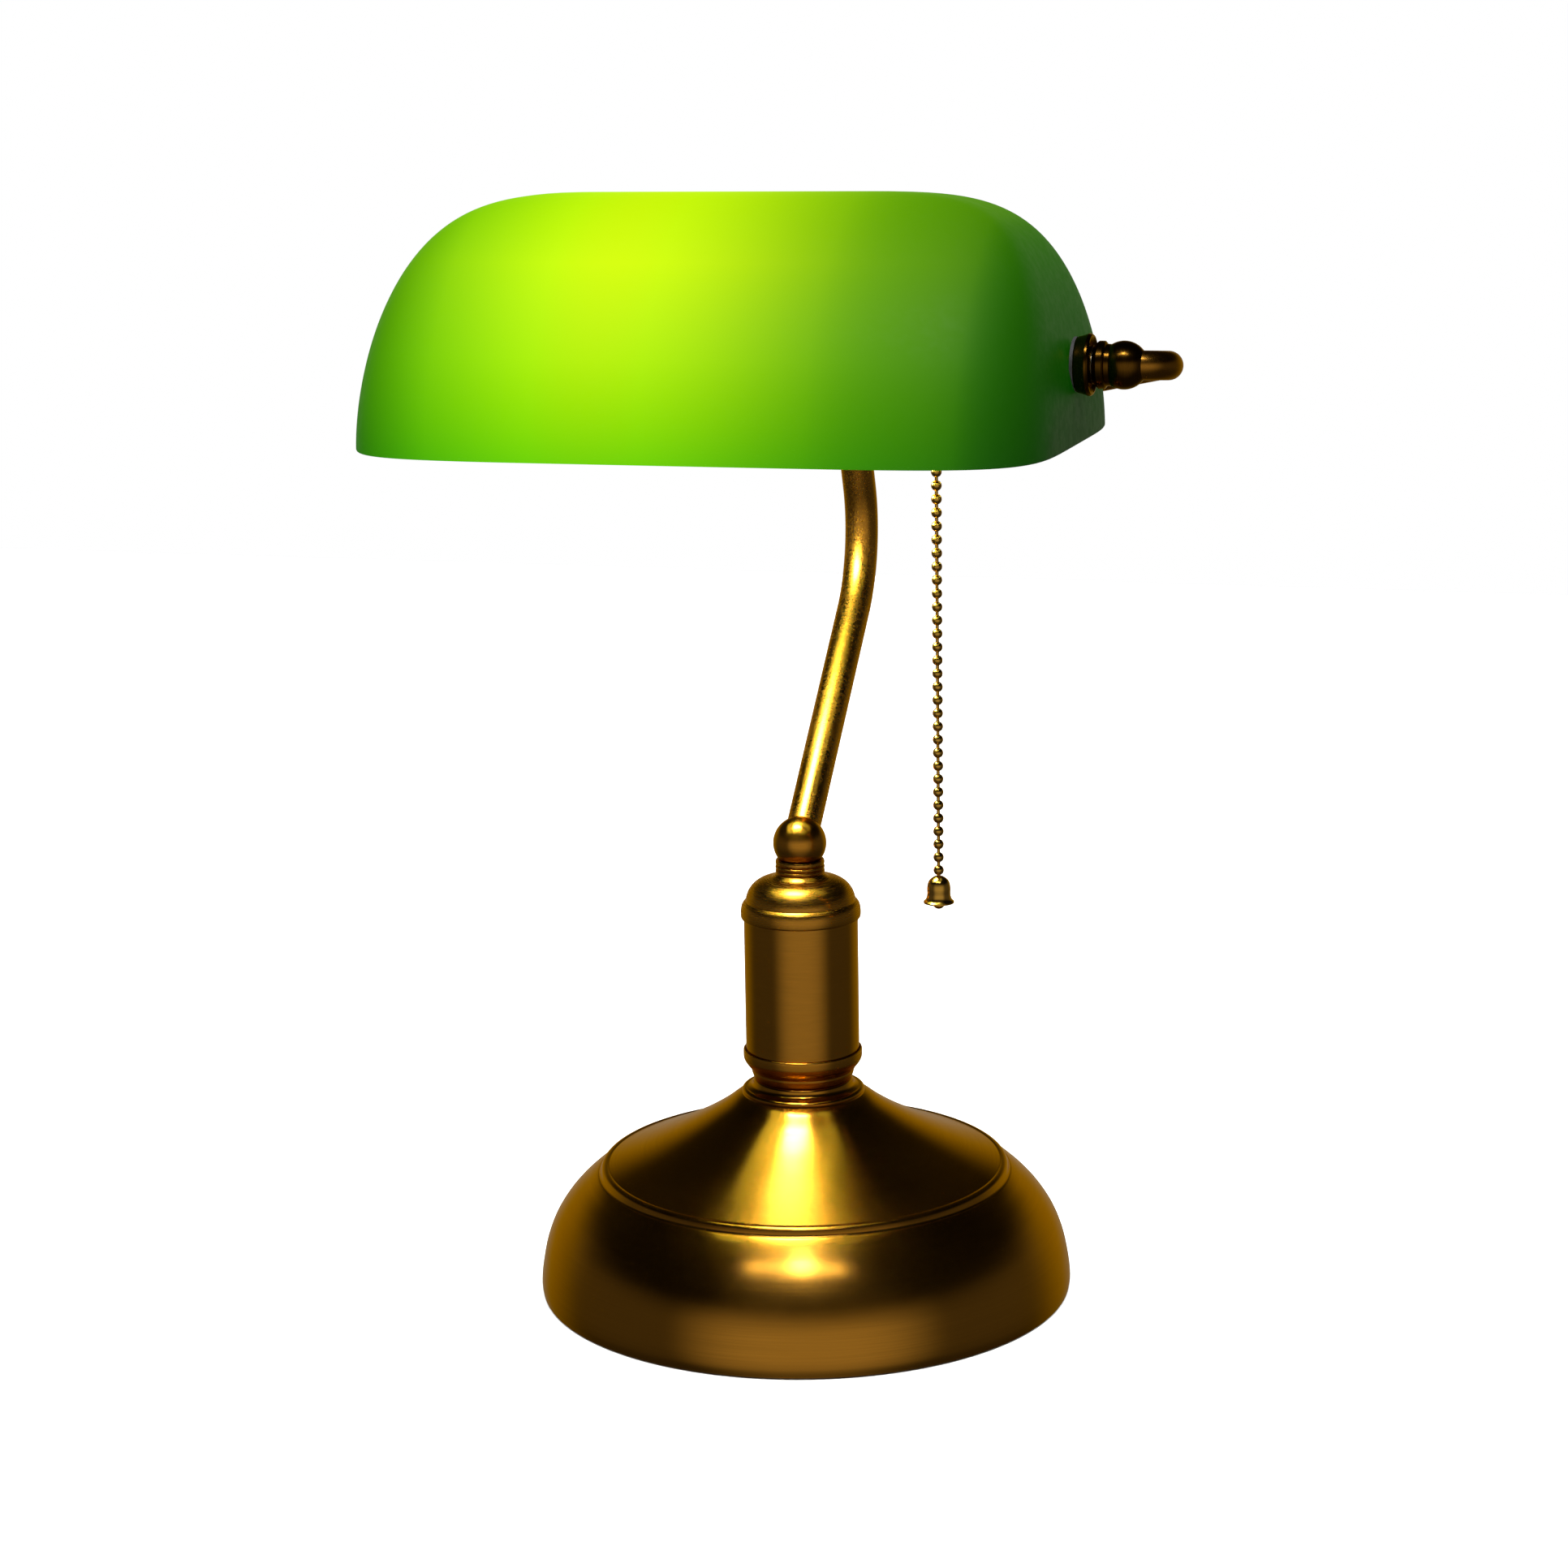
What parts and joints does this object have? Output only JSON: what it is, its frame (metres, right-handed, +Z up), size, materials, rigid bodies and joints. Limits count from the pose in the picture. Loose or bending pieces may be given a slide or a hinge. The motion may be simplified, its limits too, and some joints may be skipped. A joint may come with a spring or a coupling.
{
  "type": "desk lamp",
  "caption": "Banker desk lamp: domed weighted brass base, cranked arm, side-hung green glass trough shade that tilts, and a bead pull chain.",
  "frame": {"origin": "centre of the underside of the base, on the axis of the base and column", "axes": "+Z up along the column; +X along the length of the shade towards its coupling; -Y to the front, +Y to the back where the arm leans"},
  "size_m": [0.2533, 0.1869, 0.3679],
  "materials": {
    "felt": "green-black wool felt",
    "steel": "zinc-plated steel",
    "iron": "black cast iron",
    "aged_brass": "antique brass, brushed round the turning axis, lacquered",
    "chain_brass": "plain brass",
    "rubber": "black rubber",
    "green_glass": "green cased glass, polished outside",
    "opal": "opal bulb glass",
    "cap_metal": "bare metal bulb cap",
    "fibre": "brown fibre",
    "phenolic": "black moulded phenolic",
    "contact": "bright brass contact metal"
  },
  "bodies": {
    "base": {"felt_pad": "felt", "base_plate": "steel", "plate_screws": "steel", "base_weight": "iron", "rod_washer": "steel", "rod_nut": "steel", "centre_rod": "steel", "spacer_tube": "steel", "base_shell": "aged_brass", "cord_grommet": "rubber", "column_cup": "aged_brass", "column": "aged_brass", "column_bridge": "steel", "bridge_nut": "steel", "column_cap": "aged_brass", "neck_collar": "aged_brass"},
    "arm": {"swivel_ball": "aged_brass", "swivel_nut": "steel", "arm_tube": "aged_brass", "rear_ball": "aged_brass", "side_tube": "aged_brass", "end_ball": "aged_brass", "end_collar": "aged_brass", "nipple": "steel", "holder_cap": "aged_brass", "holder_shell": "aged_brass", "insulating_sleeve": "fibre", "switch_body": "phenolic", "drum_pin": "steel", "screw_shell": "contact", "centre_contact": "contact", "bulb_cap": "cap_metal", "bulb_glass": "opal", "chain_spout": "aged_brass"},
    "shade": {"shade_glass": "green_glass", "outer_flange": "aged_brass", "outer_gasket": "rubber", "inner_gasket": "rubber", "shade_ring_nut": "aged_brass"},
    "drum": {"switch_drum": "phenolic"},
    "pull": {"pull_rod": "chain_brass"},
    "link": {"chain_link": "chain_brass"},
    "chain": {"bead_chain": "chain_brass", "pull_bell": "chain_brass", "end_bead": "chain_brass"}
  },
  "joints": [
    {"name": "arm_swivel", "type": "hinge", "parent": "base", "child": "arm", "pos_m": [0, 0, 0.1425], "axis": [0, 0, 1], "range_deg": [-120, 120]},
    {"name": "shade_tilt", "type": "hinge", "parent": "arm", "child": "shade", "pos_m": [0.1, -0.02, 0.315], "axis": [1, 0, 0], "range_deg": [-35, 35]},
    {"name": "chain_pull", "type": "slide", "parent": "arm", "child": "pull", "axis": [0, 0, -1], "range_m": [0, 0.008], "stiffness_N_per_m": 800},
    {"name": "drum_turn", "type": "hinge", "parent": "arm", "child": "drum", "pos_m": [0.0577, -0.02, 0.309], "axis": [0, -1, 0], "range_deg": [0, 115]},
    {"name": "chain_sway", "type": "hinge", "parent": "pull", "child": "link", "pos_m": [0.0525, -0.02, 0.28985], "axis": [1, 0, 0], "range_deg": [-25, 25]},
    {"name": "chain_swing", "type": "hinge", "parent": "link", "child": "chain", "pos_m": [0.0525, -0.02, 0.2875], "axis": [0, 1, 0], "range_deg": [-20, 12]}
  ],
  "couplings": [
    {"joint": "drum_turn", "follows": "chain_pull", "rad_per_m": 250}
  ]
}
